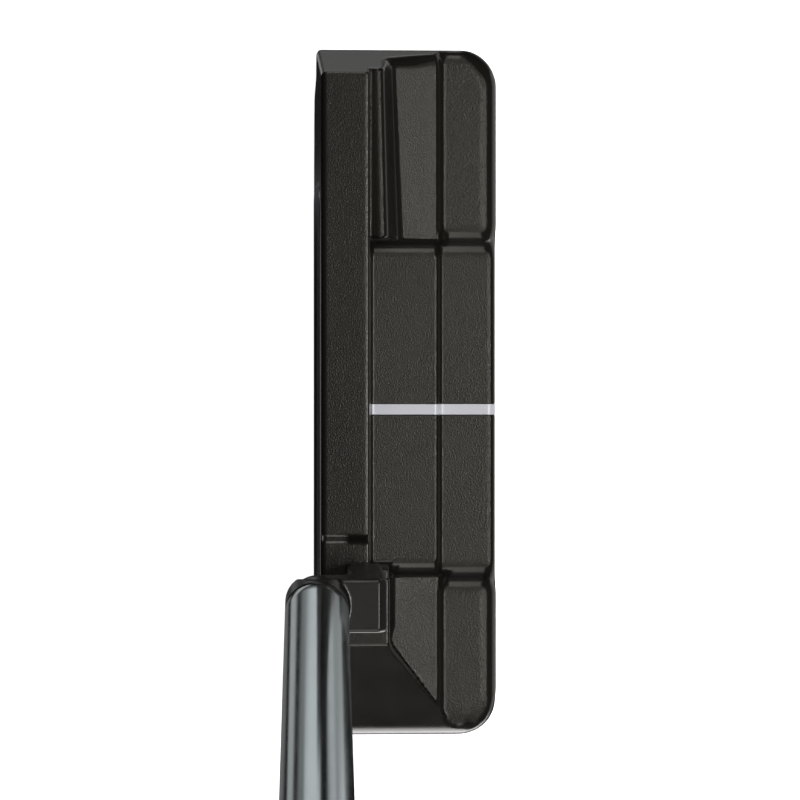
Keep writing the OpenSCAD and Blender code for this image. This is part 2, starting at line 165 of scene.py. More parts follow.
def linear(hex_colour):
    """Linear RGBA of an sRGB hex colour."""
    parts = [int(hex_colour[i:i + 2], 16) / 255 for i in (1, 3, 5)]
    return (*(c / 12.92 if c <= 0.04045 else ((c + 0.055) / 1.055) ** 2.4 for c in parts), 1.0)


def add(tree, kind, inputs=None, **settings):
    """Adds a node with its settings, and fills or links its inputs."""
    node = tree.nodes.new(kind)
    for key, value in settings.items():
        setattr(node, key, value)
    for key, value in (inputs or {}).items():
        if isinstance(value, bpy.types.NodeSocket):
            tree.links.new(value, node.inputs[key])
        else:
            node.inputs[key].default_value = value
    return node


def surface(name, **values):
    """A new material with one Principled shader. Values go straight on the shader's sockets."""
    material = bpy.data.materials.new(name)
    material.use_nodes = True
    tree = material.node_tree
    shader = tree.nodes["Principled BSDF"]
    for key, value in values.items():
        shader.inputs[key.replace("_", " ")].default_value = value
    return material, tree, shader


def object_coordinates(tree, scale=(1, 1, 1), location=(0, 0, 0), rotation=(0, 0, 0)):
    """Object coordinates through a Mapping node."""
    where = add(tree, "ShaderNodeTexCoord")
    return add(tree, "ShaderNodeMapping", {
        "Vector": where.outputs["Object"], "Scale": scale, "Location": location,
        "Rotation": rotation}).outputs["Vector"]


def per_mm(size):
    """Texture scale at which one feature of a noise is about size millimetres wide."""
    return 1 / (size * MM)


def blasted_steel(look):
    """Stainless steel, bead blasted on its flats, with a black ion-plated coat: a fine dark grain
    with a soft sheen, and a smooth satin where the attribute "blasted" is 0."""
    material, tree, shader = surface(
        "bead_blasted_black_steel", Base_Color=look.coat[:] + (1.0,), Metallic=0.0,
        Roughness=0.34, IOR=1.46, Specular_Tint=(1.0, 0.96, 0.88, 1.0))
    at = object_coordinates(tree)
    blasted = add(tree, "ShaderNodeAttribute", attribute_name="blasted").outputs["Fac"]
    # Real blast dimples are about 0.1 mm wide. These are coarser so that they show.
    dimple = add(tree, "ShaderNodeTexNoise", {
        "Vector": at, "Scale": per_mm(look.grain / MM), "Detail": 2.0, "Roughness": 0.6})
    mottle = add(tree, "ShaderNodeTexNoise", {"Vector": at, "Scale": per_mm(5.0), "Detail": 2.0})
    strength = add(tree, "ShaderNodeMath", {0: blasted, 1: look.grain_depth}, operation="MULTIPLY")
    bump = add(tree, "ShaderNodeBump", {
        "Strength": strength.outputs[0], "Distance": 0.00013, "Height": dimple.outputs["Fac"]})
    tree.links.new(bump.outputs["Normal"], shader.inputs["Normal"])
    # The blasted flats scatter light more than the satin walls do.
    rough = add(tree, "ShaderNodeMapRange", {
        "Value": blasted, "From Min": 0.0, "From Max": 1.0, "To Min": 0.24, "To Max": 0.35})
    uneven = add(tree, "ShaderNodeMapRange", {
        "Value": mottle.outputs["Fac"], "From Min": 0.3, "From Max": 0.7,
        "To Min": -0.02, "To Max": 0.02})
    total = add(tree, "ShaderNodeMath", {0: rough.outputs[0], 1: uneven.outputs[0]},
                operation="ADD")
    tree.links.new(total.outputs[0], shader.inputs["Roughness"])
    return material


def grained(name, width, detail, stretch=(1, 1, 1), relief=None, rough=None, **values):
    """A material with one fine noise, width millimetres wide. It is a relief, given as strength
    and depth in millimetres, or it varies the roughness between two values."""
    material, tree, shader = surface(name, **values)
    noise = add(tree, "ShaderNodeTexNoise", {
        "Vector": object_coordinates(tree, scale=stretch), "Scale": per_mm(width),
        "Detail": detail}).outputs["Fac"]
    if relief:
        bump = add(tree, "ShaderNodeBump", {
            "Strength": relief[0], "Distance": relief[1] * MM, "Height": noise})
        tree.links.new(bump.outputs["Normal"], shader.inputs["Normal"])
    else:
        level = add(tree, "ShaderNodeMapRange", {
            "Value": noise, "From Min": 0.3, "From Max": 0.7,
            "To Min": rough[0], "To Max": rough[1]})
        tree.links.new(level.outputs[0], shader.inputs["Roughness"])
    return material


def satin_steel():
    """Machined steel with a black coat, brushed fine: smooth, with a soft long highlight."""
    return grained("satin_black_steel", 2.5, 3.0, (1, 1, 8), rough=(0.27, 0.33),
                   Base_Color=linear("#171512"), Metallic=0.0, Roughness=0.3, IOR=1.42)


def milled_aluminium():
    """Aluminium, milled and dark anodised: grey-blue metal, cutter marks along the grooves."""
    return grained("milled_anodised_aluminium", 0.25, 2.0, (0.04, 1, 1), relief=(0.25, 0.03),
                   Base_Color=linear("#6b6e78"), Metallic=1.0, Roughness=0.38)


def white_enamel():
    """Stove enamel paint, cool white: slightly glossy with a little orange peel."""
    return grained("white_enamel_paint", 0.6, 2.0, relief=(0.2, 0.04),
                   Base_Color=linear("#cfcfd6"), Roughness=0.3, IOR=1.5)


def dark_chrome():
    """Steel tube, polished and plated with dark chrome: a blue-grey mirror with a hint of haze."""
    return grained("dark_chrome_plate", 1.5, 3.0, (1, 1, 0.05), rough=(0.15, 0.19),
                   Base_Color=linear("#a3abad"), Metallic=1.0, Roughness=0.17)


def turned_steel():
    """Bare stainless steel, turned and tumbled: bright metal with a fine even grain."""
    return grained("turned_stainless_steel", 0.3, 2.0, relief=(0.15, 0.03),
                   Base_Color=linear("#9b9c9c"), Metallic=1.0, Roughness=0.3)


def moulded(name, colour, roughness, grain_mm, depth, sheen=0.0):
    """A moulded or cast soft material: a matt grain of the given width, and a colour drift."""
    material, tree, shader = surface(
        name, Base_Color=linear(colour), Roughness=roughness, IOR=1.5, Sheen_Weight=sheen)
    at = object_coordinates(tree)
    grain = add(tree, "ShaderNodeTexNoise", {
        "Vector": at, "Scale": per_mm(grain_mm), "Detail": 3.0})
    bump = add(tree, "ShaderNodeBump", {
        "Strength": 0.5, "Distance": depth * MM, "Height": grain.outputs["Fac"]})
    tree.links.new(bump.outputs["Normal"], shader.inputs["Normal"])
    drift = add(tree, "ShaderNodeTexNoise", {
        "Vector": at, "Scale": per_mm(grain_mm * 14), "Detail": 2.0})
    factor = add(tree, "ShaderNodeMapRange", {
        "Value": drift.outputs["Fac"], "From Min": 0.3, "From Max": 0.7,
        "To Min": 0.9, "To Max": 1.1})
    colour_node = add(tree, "ShaderNodeVectorMath", {
        0: linear(colour)[:3], "Scale": factor.outputs[0]}, operation="SCALE")
    tree.links.new(colour_node.outputs[0], shader.inputs["Base Color"])
    return material


def paper_tape():
    """Double sided paper tape: cream crepe with fine ribs across the shaft."""
    material, tree, shader = surface(
        "crepe_paper_tape", Base_Color=linear("#e2d9bd"), Roughness=0.85)
    ribs = add(tree, "ShaderNodeTexWave", {
        "Vector": object_coordinates(tree, rotation=(0, -LEAN, 0)), "Scale": per_mm(1.0) / 3,
        "Distortion": 3.0, "Detail": 2.0}, bands_direction="Z")
    bump = add(tree, "ShaderNodeBump", {
        "Strength": 0.4, "Distance": 0.00005, "Height": ribs.outputs["Fac"]})
    tree.links.new(bump.outputs["Normal"], shader.inputs["Normal"])
    return material


def dress(node_name, material):
    """Gives a carried-over CAD node its material."""
    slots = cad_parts[node_name].data.materials
    if slots:
        for i in range(len(slots)):
            slots[i] = material
    else:
        slots.append(material)


# ---- solid shapes from distance fields ----

def smooth(value, start, end):
    """Eased share of the way from start to end, 0 to 1."""
    t = np.clip((value - start) / (end - start), 0, 1)
    return t * t * (3 - 2 * t)


def meet(a, b, r, c=0.0):
    """Inside both: their edge is rounded with radius r. c is the cosine between their normals."""
    a1, b1 = a + r, b + r
    turn = (a1 > c * b1) & (b1 > c * a1)
    arc = np.sqrt(np.maximum(a1 * a1 + b1 * b1 - 2 * c * a1 * b1, 0) / (1 - c * c)) - r
    return np.where(turn, arc, np.maximum(a, b))


def join(a, b, r, c=0.0):
    """Inside either: the corner where they join is filleted with radius r."""
    return -meet(-a, -b, r, c)


def lines(start, end, coarse, close):
    """Grid lines from start to end, coarse apart, and closer in the spans of close."""
    fine = np.linspace(start, end, 4001)
    density = np.full_like(fine, 1 / coarse)
    for a, b, gap in close:
        density = np.where((fine > a) & (fine < b), np.maximum(density, 1 / gap), density)
    count = np.concatenate([[0], np.cumsum((density[1:] + density[:-1]) / 2 * np.diff(fine))])
    steps = int(round(count[-1]))
    return np.interp(np.linspace(0, count[-1], steps + 1), count, fine)


def normals_of(field, points):
    """Unit normals and gradient lengths of a field at points."""
    step = 0.01
    gradient = np.empty_like(points)
    for axis in range(3):
        ahead, behind = points.copy(), points.copy()
        ahead[:, axis] += step
        behind[:, axis] -= step
        gradient[:, axis] = (field(*ahead.T) - field(*behind.T)) / (2 * step)
    size = np.linalg.norm(gradient, axis=1, keepdims=True) + 1e-9
    return gradient / size, size[:, 0]


def store(mesh, label, values):
    """Keeps one number for each point of a mesh under a name."""
    layer = mesh.attributes.new(label, "FLOAT", "POINT")
    layer.data.foreach_set("value", values.astype(np.float32))


def carve(name, field, xs, ys, zs, marks=None):
    """A closed mesh, with exact normals, of the surface where the field is 0 on the grid lines."""
    values = field(xs[:, None, None], ys[None, :, None], zs[None, None, :])
    values = np.broadcast_to(values, (len(xs), len(ys), len(zs))).astype(np.float32)
    grid = openvdb.FloatGrid(10.0)
    grid.copyFromArray(np.clip(values, -9.0, 9.0))
    points, quads = grid.convertToQuads(0.0)
    points = np.stack([np.interp(points[:, i], np.arange(len(line)), line)
                       for i, line in enumerate((xs, ys, zs))], axis=1)
    for _ in range(4):
        normals, size = normals_of(field, points)
        shift = np.clip(field(*points.T) / size, -0.25, 0.25)
        points = points - normals * shift[:, None]
    normals, _ = normals_of(field, points)
    a, b, c, d = (points[quads[:, i]] for i in range(4))
    face_normal = np.cross(c - a, d - b)
    if np.sum(face_normal * normals[quads[:, 0]]) < 0:
        quads = quads[:, ::-1]
    mesh = bpy.data.meshes.new(name)
    mesh.from_pydata((points * MM).tolist(), [], quads.tolist())
    mesh.shade_smooth()
    mesh.normals_split_custom_set_from_vertices(normals.tolist())
    for label, function in (marks or {}).items():
        store(mesh, label, function(points, normals))
    return place(name, mesh)


def place(name, mesh):
    """A new object in the scene, at the origin, for a finished mesh."""
    obj = bpy.data.objects.new(name, mesh)
    bpy.context.scene.collection.objects.link(obj)
    return obj


def finish_piece(obj, material, node=None):
    """Material, body and replaced node of a finished piece."""
    obj.data.materials.clear()
    obj.data.materials.append(material)
    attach(obj, "root")
    if node:
        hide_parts(node)
    return obj


# ---- head ----

def sole_gap(x, z):
    """Distance above the cambered sole, negative inside the head."""
    past = np.abs(x) - SOLE_FLAT
    return np.where(past > 0, np.hypot(past, CAMBER_R - z) - CAMBER_R, -z)


def toe_wall(x, z):
    """The leaning toe wall, tangent to its round foot on the sole."""
    toe_x = TOE_X + TOE_FOOT_R
    toe_z = CAMBER_R - math.sqrt((CAMBER_R - TOE_FOOT_R) ** 2 - (toe_x + SOLE_FLAT) ** 2)
    wall_x = toe_x - TOE_FOOT_R * math.cos(TOE_LEAN)
    wall_z = toe_z + TOE_FOOT_R * math.sin(TOE_LEAN)
    return (wall_x - x) * math.cos(TOE_LEAN) + (z - wall_z) * math.sin(TOE_LEAN)


def outer_wall(x, y, z):
    """Toe wall, back wall and heel end in one, with round corners."""
    fall = (x - SHOULDER_X) * math.sin(HEEL_FALL) + (z - LEDGE_H) * math.cos(HEEL_FALL)
    end = (x - HEEL_FOOT_X) * math.cos(HEEL_DRAFT) + (z - HEEL_FOOT_H) * math.sin(HEEL_DRAFT)
    heel = meet(fall, end, HEEL_ROUND, math.sin(HEEL_FALL + HEEL_DRAFT))
    back = meet(toe_wall(x, z), y - BACK_Y, CORNER_R)
    return meet(back, heel, CORNER_R * (1 - 0.5 * smooth(z, 8, 11)))


def blade(x, y, z):
    """The upright blade, with the drop to the ledge that carries the neck."""
    step = (x - DROP_X) * math.sin(DROP) + (z - TOP_H) * math.cos(DROP)
    top = join(meet(z - TOP_H, step, 0.9, math.cos(DROP)), z - LEDGE_H, 1.2, math.cos(DROP))
    rear = y - BLADE_BACK - (TOP_H - z) * BLADE_DRAFT
    return meet(top, rear, 0.5)


def shoulder(x, y, z):
    """The flat seat behind the neck and the wedge that widens towards the heel."""
    seat = np.maximum(y - SEAT_BACK - (LEDGE_H - z) * 0.04, SEAT_X - x)
    diagonal = (y - SEAT_BACK) * 0.8 - (x - SHOULDER_X - 0.6) * 0.6 - (LEDGE_H - z) * 0.03
    wedge = np.maximum(diagonal, SHOULDER_X - 1 - x)
    return meet(z - LEDGE_H, join(seat, wedge, 0.8), 0.45)


def tier_step(y, z, high, low):
    """The sloped drop at the back of a front tier."""
    run, fall = STEP_RUN, high - low
    return ((y - STEP_Y) * fall + (z - high) * run) / math.hypot(run, fall)


def front_ramp(y, z, rise):
    """The top of a front tier, which climbs by rise from its step to the foot of the blade."""
    slope = rise / (STEP_Y - RAMP_TOP_Y)
    return (z - TIER_FRONT_H - (STEP_Y - y) * slope) / math.hypot(1, slope)


def back_tier(x, z, start, end):
    """The lower back tier, which sweeps up from the flange at start to its full height at end.
    Its fillet radius and the cosine for join come with it."""
    turn = 2 * math.atan2(TIER_BACK_H - FLANGE_H, end - start)
    r = (end - start) / 2 / math.sin(turn)
    across = (x - (start + end) / 2) * math.sin(turn)
    rise = (z - (FLANGE_H + TIER_BACK_H) / 2) * math.cos(turn)
    return meet(z - TIER_BACK_H, rise - across, r, math.cos(turn)), r, math.cos(turn)


def toe_bumper(x, y, z):
    """The toe bumper: a ridge behind the blade that runs out into a ramp, and a drop behind."""
    taper = np.clip((-x - 28) / 28, 0, 1)
    ridge = z - RIDGE_H + 0.7 * taper + (y - RIDGE_Y + 0.4 * taper) ** 2 / 6.0
    ridge = meet(ridge, y - RIDGE_BACK + 0.8 * taper - (RIDGE_H - z) * 0.2, 1.6, 0.2)
    tier = join(ridge, front_ramp(y, z, 2.4), 2.9 - 0.9 * taper, 0.5)
    tier = meet(tier, tier_step(y, z, TIER_FRONT_H, TIER_BACK_H), 0.4, 0.67)
    inner = x - TOE_INNER_X - (z - FLOOR_H) * 0.02
    return meet(tier, inner, 0.75)


def heel_bumper(x, y, z):
    """The heel bumper, joined to the shoulder with a foot that narrows towards the heel."""
    tier = meet(front_ramp(y, z, 0.9), tier_step(y, z, TIER_FRONT_H, TIER_BACK_H), 0.4, 0.5)
    front = SEAT_BACK + 0.1 - y
    tier = meet(tier, np.maximum(HEEL_INNER_X - x, front - 3.0), 0.7)
    foot = 1.6 - 1.2 * smooth(x, SHOULDER_X - 3, SHOULDER_X + 1)
    return join(tier, np.maximum(shoulder(x, y, z), HEEL_INNER_X + 0.15 - x), foot)


def upper(x, y, z):
    """Everything under the head's upper side, without its outer walls."""
    floor = meet(z - FLOOR_H, tier_step(y, z, FLOOR_H, FLANGE_H), 0.8, 0.33)
    toe_back, toe_r, toe_c = back_tier(-x, z, FLOOR_HALF, 31.7)
    heel_back, heel_r, heel_c = back_tier(x, z, FLOOR_HALF + 0.3, 31.5)
    flange = join(z - FLANGE_H, toe_back, toe_r, toe_c)
    flange = np.where(x > 0, join(z - FLANGE_H, heel_back, heel_r, heel_c), flange)
    low = join(floor, flange, 0.6, 0.33)
    toe = toe_bumper(x, y, z)
    heel = heel_bumper(x, y, z)
    foot = 2.9 - 2.3 * smooth(y, STEP_Y - 0.6, STEP_Y + 0.6)
    low = join(low, np.minimum(toe, heel), foot)
    high = np.minimum(blade(x, y, z), shoulder(x, y, z))
    return join(low, high, 0.5)


def edge_radius(x, y, z):
    """How round the edge is between the upper side and the outer walls."""
    bumper = smooth(np.abs(x), FLOOR_HALF, 31.5)
    behind = 1.5 + 1.7 * bumper + 2.4 * smooth(x, 44, 50) * (1 - smooth(y, 9.5, 12.5))
    toe = np.clip(0.5 + 0.3 * (RIDGE_H - z), 0.5, 3.3)
    ahead = np.where(x < 0, toe, 0.35)
    back = smooth(y, STEP_Y - 0.6, STEP_Y + 1.0)
    return ahead + (behind - ahead) * back


def insert_pocket(x, y, z, grow):
    """The outline of the pocket for the face insert, grown a little, and the depth behind the
    face."""
    high = (z - LEAD_R) * math.cos(LOFT) + (y - FRONT_Y) * math.sin(LOFT)
    deep = (y - FRONT_Y) * math.cos(LOFT) - (z - LEAD_R) * math.sin(LOFT)
    side = np.abs(x) - PLATE_HALF
    level = np.abs(high - PLATE_FOOT - PLATE_TALL / 2) - PLATE_TALL / 2
    return meet(side - grow, level - grow, PLATE_CORNER), deep


def line_strip(skin, x, y, z, half, gap):
    """The strip under the sight line, from a gap behind the blade to the foot of the back edge."""
    strip = np.maximum(np.abs(x) - half, -skin - PAINT_D)
    return np.maximum(strip, np.maximum(BLADE_BACK + gap - y, PAINT_LOW - z))


def tenon(x, y, z):
    """The round tenon under the neck's post, which is also its hole in the head."""
    return np.maximum(np.hypot(x - NECK_X, y - POST_Y) - TENON_R, LEDGE_H - TENON_L - z)


def head_field(x, y, z):
    """The whole head, with its pocket, groove, tenon hole and weight ports cut out."""
    top = upper(x, y, z)
    ends = (0.35 * smooth(-x, 40, 50) + 0.65 * smooth(x, 40, 48)) * (1 - smooth(y, 9.5, 13))
    body = meet(top, outer_wall(x, y, z), edge_radius(x, y, z), ends)
    face = (FRONT_Y + (z - LEAD_R) * math.tan(LOFT) - y) * math.cos(LOFT)
    body = meet(body, face, 0.9)
    toe_share = smooth(-x, 52.5, 56.5)
    body = meet(body, sole_gap(x, z), 2.1 + 3.4 * toe_share, -0.35 * toe_share)
    outline, deep = insert_pocket(x, y, z, 0.02)
    pocket = meet(outline, deep - 4.26, 0.2)
    body = np.maximum(body, -pocket)
    # The painted groove of the sight line follows the floor, the flange and the back edge.
    skin = meet(top, y - BACK_Y, BACK_EDGE_R)
    body = np.maximum(body, -line_strip(skin, x, y, z, 0.95, 0.7))
    body = np.maximum(body, -tenon(x, y, z))
    for node in ("toe_weight", "heel_weight"):
        low, high = corners(node)
        middle = (low + high) / 2
        port = np.hypot(x - middle[0], y - middle[1]) - PORT_R
        body = meet(body, -np.maximum(port, z - high[2] - 0.8), 0.25)
    return body


def blasted_mark(points, normals):
    """1 on the blasted flats, about half on the top line, and 0 on the toe wall, the shoulder's
    slope and the rounded edges."""
    x, y, z = points.T
    flat = smooth(normals[:, 2], 0.86, 0.95)
    on_slope = smooth(x, SHOULDER_X - 1, SHOULDER_X + 1) * (z > TIER_BACK_H + 2.9)
    on_top = 0.45 * smooth(z, LEDGE_H - 0.4, LEDGE_H)
    return flat * (1 - on_slope) * (1 - on_top)


def build_head():
    """The black steel head."""
    # The grid is closer where an edge, a fillet or the painted groove runs.
    xs = lines(TOE_X - 0.6, HEEL_X + 0.6, 0.9, [
        (-62, -54, 0.3), (-32.5, -24, 0.36), (-29.5, -27.3, 0.22), (-1.2, -0.6, 0.1),
        (0.6, 1.2, 0.1), (19.2, 23, 0.22), (24, 25.2, 0.2), (25, 32, 0.36), (27, 28.8, 0.22),
        (36.8, 40, 0.3), (40, 51, 0.36), (50, 56, 0.34)])
    ys = lines(FRONT_Y - 0.5, BACK_Y + 0.5, 0.8, [
        (-16, -13, 0.24), (-7, -3.2, 0.2), (-3.2, 0, 0.34), (4.3, 6.9, 0.2), (11.3, 16, 0.32)])
    zs = lines(-0.5, TOP_H + 0.5, 0.65, [
        (-0.5, 2.4, 0.36), (6.9, 8.2, 0.26), (8.9, 13.6, 0.3), (22.6, 25.6, 0.2)])
    head = carve("putter_head", head_field, xs, ys, zs, {"blasted": blasted_mark})
    look = bpy.context.scene.putter_head_look
    finish_piece(head, blasted_steel(look), "head_body")


# ---- neck, insert, sight line and weights ----

def along_shaft(x, y, z):
    """Distance along the shaft's axis from the ground, and distance from that axis."""
    dx, dy = x - AXIS_FOOT[0], y - AXIS_FOOT[1]
    t = dx * AXIS_DIR[0] + z * AXIS_DIR[2]
    return t, np.sqrt(np.maximum(dx * dx + dy * dy + z * z - t * t, 0))


def neck_field(x, y, z):
    """Post and arm bent from one flat bar, the shaft's collar and spigot, and the tenon."""
    rear = POST_Y + POST_D / 2
    bar = join(rear - POST_D - y, NECK_H - ARM_T - z, BEND_R)
    eased = (y - rear + z - NECK_H) * math.sqrt(0.5) + 0.8
    bar = np.maximum(bar, meet(y - rear, eased, 0.5, math.sqrt(0.5)))
    bar = np.maximum(bar, meet(z - NECK_H, eased, 0.4, math.sqrt(0.5)))
    side = np.hypot(x - NECK_X, np.minimum(y - AXIS_Y, 0)) - NECK_W / 2
    bar = np.maximum(meet(bar, side, 0.7), LEDGE_H - z)
    t, out = along_shaft(x, y, z)
    collar = meet(out - TIP_R, np.maximum(COLLAR_T - 0.3 - t, t - TIP_T), 0.35)
    collar = np.maximum(collar, NECK_X - NECK_W / 2 - x)
    spigot = np.maximum(out - SPIGOT_R, np.maximum(COLLAR_T - t, t - TIP_T - SPIGOT_L))
    foot = np.maximum(tenon(x, y, z), z - LEDGE_H - 2)
    return np.minimum(np.minimum(join(bar, collar, 0.5), spigot), foot)


def build_neck():
    """The plumber's neck: tenon, post, arm, collar and the spigot inside the shaft."""
    xs = lines(NECK_LO[0] - 0.5, NECK_HI[0] + 0.5, 0.6, [(24.3, 27, 0.28), (31, 33.5, 0.28)])
    ys = lines(NECK_LO[1] - 0.5, NECK_HI[1] + 0.5, 0.4, [(-12, -4, 0.28)])
    zs = lines(NECK_LO[2] - 0.5, NECK_HI[2] + 0.5, 0.8, [(43, 49, 0.4), (54, 62, 0.26)])
    neck = carve("plumbers_neck_bar", neck_field, xs, ys, zs)
    finish_piece(neck, satin_steel(), "plumbers_neck")


def paint_field(x, y, z):
    """The painted band, just under the skin of the floor, the step and the back edge."""
    skin = meet(upper(x, y, z), y - BACK_Y, BACK_EDGE_R)
    return np.maximum(skin + 0.005, line_strip(skin, x, y, z, LINE_HALF, 0.75))


def build_sight_line():
    """The white line across cavity and flange."""
    xs = lines(-1.3, 1.3, 0.3, [(-1.1, -0.7, 0.08), (0.7, 1.1, 0.08)])
    ys = lines(BLADE_BACK + 0.2, BACK_Y + 0.3, 0.4, [
        (BLADE_BACK + 0.2, BLADE_BACK + 1, 0.12), (4.6, 6.6, 0.1), (13.6, 16, 0.1)])
    zs = lines(4.8, 10, 0.12, [])
    line = carve("sight_line_paint", paint_field, xs, ys, zs)
    finish_piece(line, white_enamel(), "sight_line")


def build_weight(node, name, material):
    """A turned sole weight with a chamfered rim, a turned ring and a hexagonal key socket."""
    low, high = corners(node)
    cx, cy = (low + high)[:2] / 2
    r = (high - low)[0] / 2
    key_half, key_deep = 2.0, 2.6

    def field(x, y, z):
        out = np.hypot(x - cx, y - cy)
        rise = z - low[2]
        body = np.maximum(out - r + 0.02, rise - (high - low)[2])
        body = np.maximum(body, np.maximum(-rise, (out - r - rise) * 0.7071 + 0.35))
        ring = np.hypot(out - r * 0.72, rise) - 0.28
        key = rise - key_deep
        for a in np.radians((0, 60, 120)):
            flats = np.abs((x - cx) * math.cos(a) + (y - cy) * math.sin(a))
            key = np.maximum(key, flats - key_half)
        mouth = out - 2.25 + rise
        return np.maximum(body, -np.minimum(np.minimum(ring, key), mouth))

    xs, ys = (np.linspace(c - r - 0.4, c + r + 0.4, 76) for c in (cx, cy))
    zs = lines(low[2] - 0.4, high[2] + 0.4, 0.4, [(low[2] - 0.4, low[2] + 1, 0.12)])
    finish_piece(carve(name, field, xs, ys, zs), material, node)


# ---- Geometry Nodes ----

def node_tree(name, sizes):
    """A geometry node group with a geometry input and named size inputs, and their sockets."""
    tree = bpy.data.node_groups.new(name, "GeometryNodeTree")
    tree.interface.new_socket("Geometry", in_out="INPUT", socket_type="NodeSocketGeometry")
    for label in sizes:
        tree.interface.new_socket(label, in_out="INPUT", socket_type="NodeSocketFloat")
    tree.interface.new_socket("Geometry", in_out="OUTPUT", socket_type="NodeSocketGeometry")
    return tree, tree.nodes.new("NodeGroupInput").outputs


def close_tree(tree, geometry, material):
    """Ends a tree in Realize Instances and Set Material."""
    real = add(tree, "GeometryNodeRealizeInstances", {"Geometry": geometry})
    painted = add(tree, "GeometryNodeSetMaterial", {
        "Geometry": real.outputs[0], "Material": material})
    add(tree, "NodeGroupOutput", {"Geometry": painted.outputs[0]})


def grow(name, base, tree, sizes):
    """Runs a tree on a base mesh and returns its result as a plain mesh object."""
    carrier = place(name + "_base", base)
    modifier = carrier.modifiers.new("rule", "NODES")
    modifier.node_group = tree
    for item in tree.interface.items_tree:
        if item.in_out == "INPUT" and item.name in sizes:
            modifier[item.identifier] = float(sizes[item.name])
    graph = bpy.context.evaluated_depsgraph_get()
    mesh = bpy.data.meshes.new_from_object(carrier.evaluated_get(graph))
    carrier.modifiers.remove(modifier)
    bpy.data.objects.remove(carrier)
    mesh.name = name
    return place(name, mesh)


def insert_slab(step, depth):
    """A flat grid with the insert's outline, step apart, as a closed slab that is depth thick."""
    levels = np.linspace(0, PLATE_TALL, int(PLATE_TALL / step) + 1)
    points = []
    rows, across = len(levels), 90
    for level in levels:
        gap = PLATE_CORNER - min(level, PLATE_TALL - level)
        pull = PLATE_CORNER - math.sqrt(max(PLATE_CORNER ** 2 - gap ** 2, 0)) if gap > 0 else 0.0
        us = np.linspace(-1, 1, across) * (PLATE_HALF - pull)
        height = np.full(across, PLATE_FOOT + level)
        points.append(np.stack([us, np.zeros(across), height], axis=1))
    grid = np.concatenate(points)
    count = len(grid)

    def quad(i, j):
        return (i * across + j, i * across + j + 1, (i + 1) * across + j + 1, (i + 1) * across + j)

    faces = [quad(i, j) for i in range(rows - 1) for j in range(across - 1)]
    faces += [tuple(count + k for k in reversed(face)) for face in faces]
    rim = list(range(across)) + [i * across + across - 1 for i in range(1, rows)]
    rim += [(rows - 1) * across + j for j in range(across - 2, -1, -1)]
    rim += [i * across for i in range(rows - 2, 0, -1)]
    faces += [(b, a, count + a, count + b) for a, b in zip(rim, rim[1:] + rim[:1])]
    mesh = bpy.data.meshes.new("insert_slab")
    mesh.from_pydata((np.concatenate([grid, grid + (0, depth, 0)]) * MM).tolist(), [], faces)
    up = grid[:, 2] - PLATE_FOOT
    inside = np.minimum(PLATE_HALF - np.abs(grid[:, 0]), np.minimum(up, PLATE_TALL - up))
    store(mesh, "front", np.repeat((1.0, 0.0), count))
    store(mesh, "rim_gap", np.tile(inside, 2) * MM)
    return mesh


def build_insert():
    """The milled face plate. Its grooves are cut by a rule: even pitch, deepest in the middle."""
    material = milled_aluminium()
    tree, given = node_tree("milled_face", ("Pitch", "Depth", "Rim", "Half length"))
    where = add(tree, "GeometryNodeInputPosition")
    parts = add(tree, "ShaderNodeSeparateXYZ", {0: where.outputs[0]}).outputs
    front, gap = (add(tree, "GeometryNodeInputNamedAttribute", {"Name": label},
                      data_type="FLOAT").outputs["Attribute"] for label in ("front", "rim_gap"))
    inside = add(tree, "ShaderNodeMapRange", {
        "Value": gap, "From Min": 0.0, "From Max": given["Rim"]}, interpolation_type="SMOOTHSTEP")
    past_edge = add(tree, "ShaderNodeMapRange", {
        "Value": gap, "From Min": 0.0, "From Max": 0.3 * MM})
    known = {"X": parts["X"], "Z": parts["Z"], "front": front, "inside": inside.outputs[0],
             "past edge": past_edge.outputs[0], "Pitch": given["Pitch"],
             "Depth": given["Depth"], "Half length": given["Half length"]}
    # Each row is one sum: its result, the operation, and what it works on.
    for result, operation, a, b in (
            ("grooves", "DIVIDE", "Z", "Pitch"),
            ("wave", "PINGPONG", "grooves", 0.5),
            ("steep wave", "MULTIPLY", "wave", 2.4),
            ("cut", "SMOOTH_MIN", "steep wave", 1.0),
            ("along", "DIVIDE", "X", "Half length"),
            ("off middle", "ABSOLUTE", "along", 0.0),
            ("loss", "POWER", "off middle", 3.0),
            ("fade", "SUBTRACT", 1.0, "loss"),
            ("full cut", "MULTIPLY", "cut", "Depth"),
            ("reach", "MULTIPLY", "fade", "inside"),
            ("groove", "MULTIPLY", "full cut", "reach"),
            ("edge", "SUBTRACT", 1.0, "past edge"),
            ("bevel", "MULTIPLY", "edge", 0.12 * MM),
            ("both", "ADD", "groove", "bevel"),
            ("depth", "MULTIPLY", "both", "front")):
        known[result] = add(tree, "ShaderNodeMath", {0: known.get(a, a), 1: known.get(b, b)},
                            operation=operation).outputs[0]
    shift = add(tree, "ShaderNodeCombineXYZ", {"Y": known["depth"]}).outputs[0]
    moved = add(tree, "GeometryNodeSetPosition", {"Geometry": given["Geometry"], "Offset": shift})
    close_tree(tree, moved.outputs[0], material)
    plate = grow("milled_face_plate", insert_slab(0.22, PLATE_T), tree, {
        "Pitch": 1.3 * MM, "Depth": 0.3 * MM, "Rim": 2.2 * MM, "Half length": PLATE_HALF * MM})
    tilt = Matrix.Rotation(-LOFT, 4, "X")
    foot = Matrix.Translation(Vector((0, FRONT_Y, LEAD_R)) * MM)
    out = Matrix.Translation(Vector((0, -PLATE_PROUD, 0)) * MM)
    plate.data.transform(foot @ tilt @ out)
    finish_piece(plate, material, "face_plate")


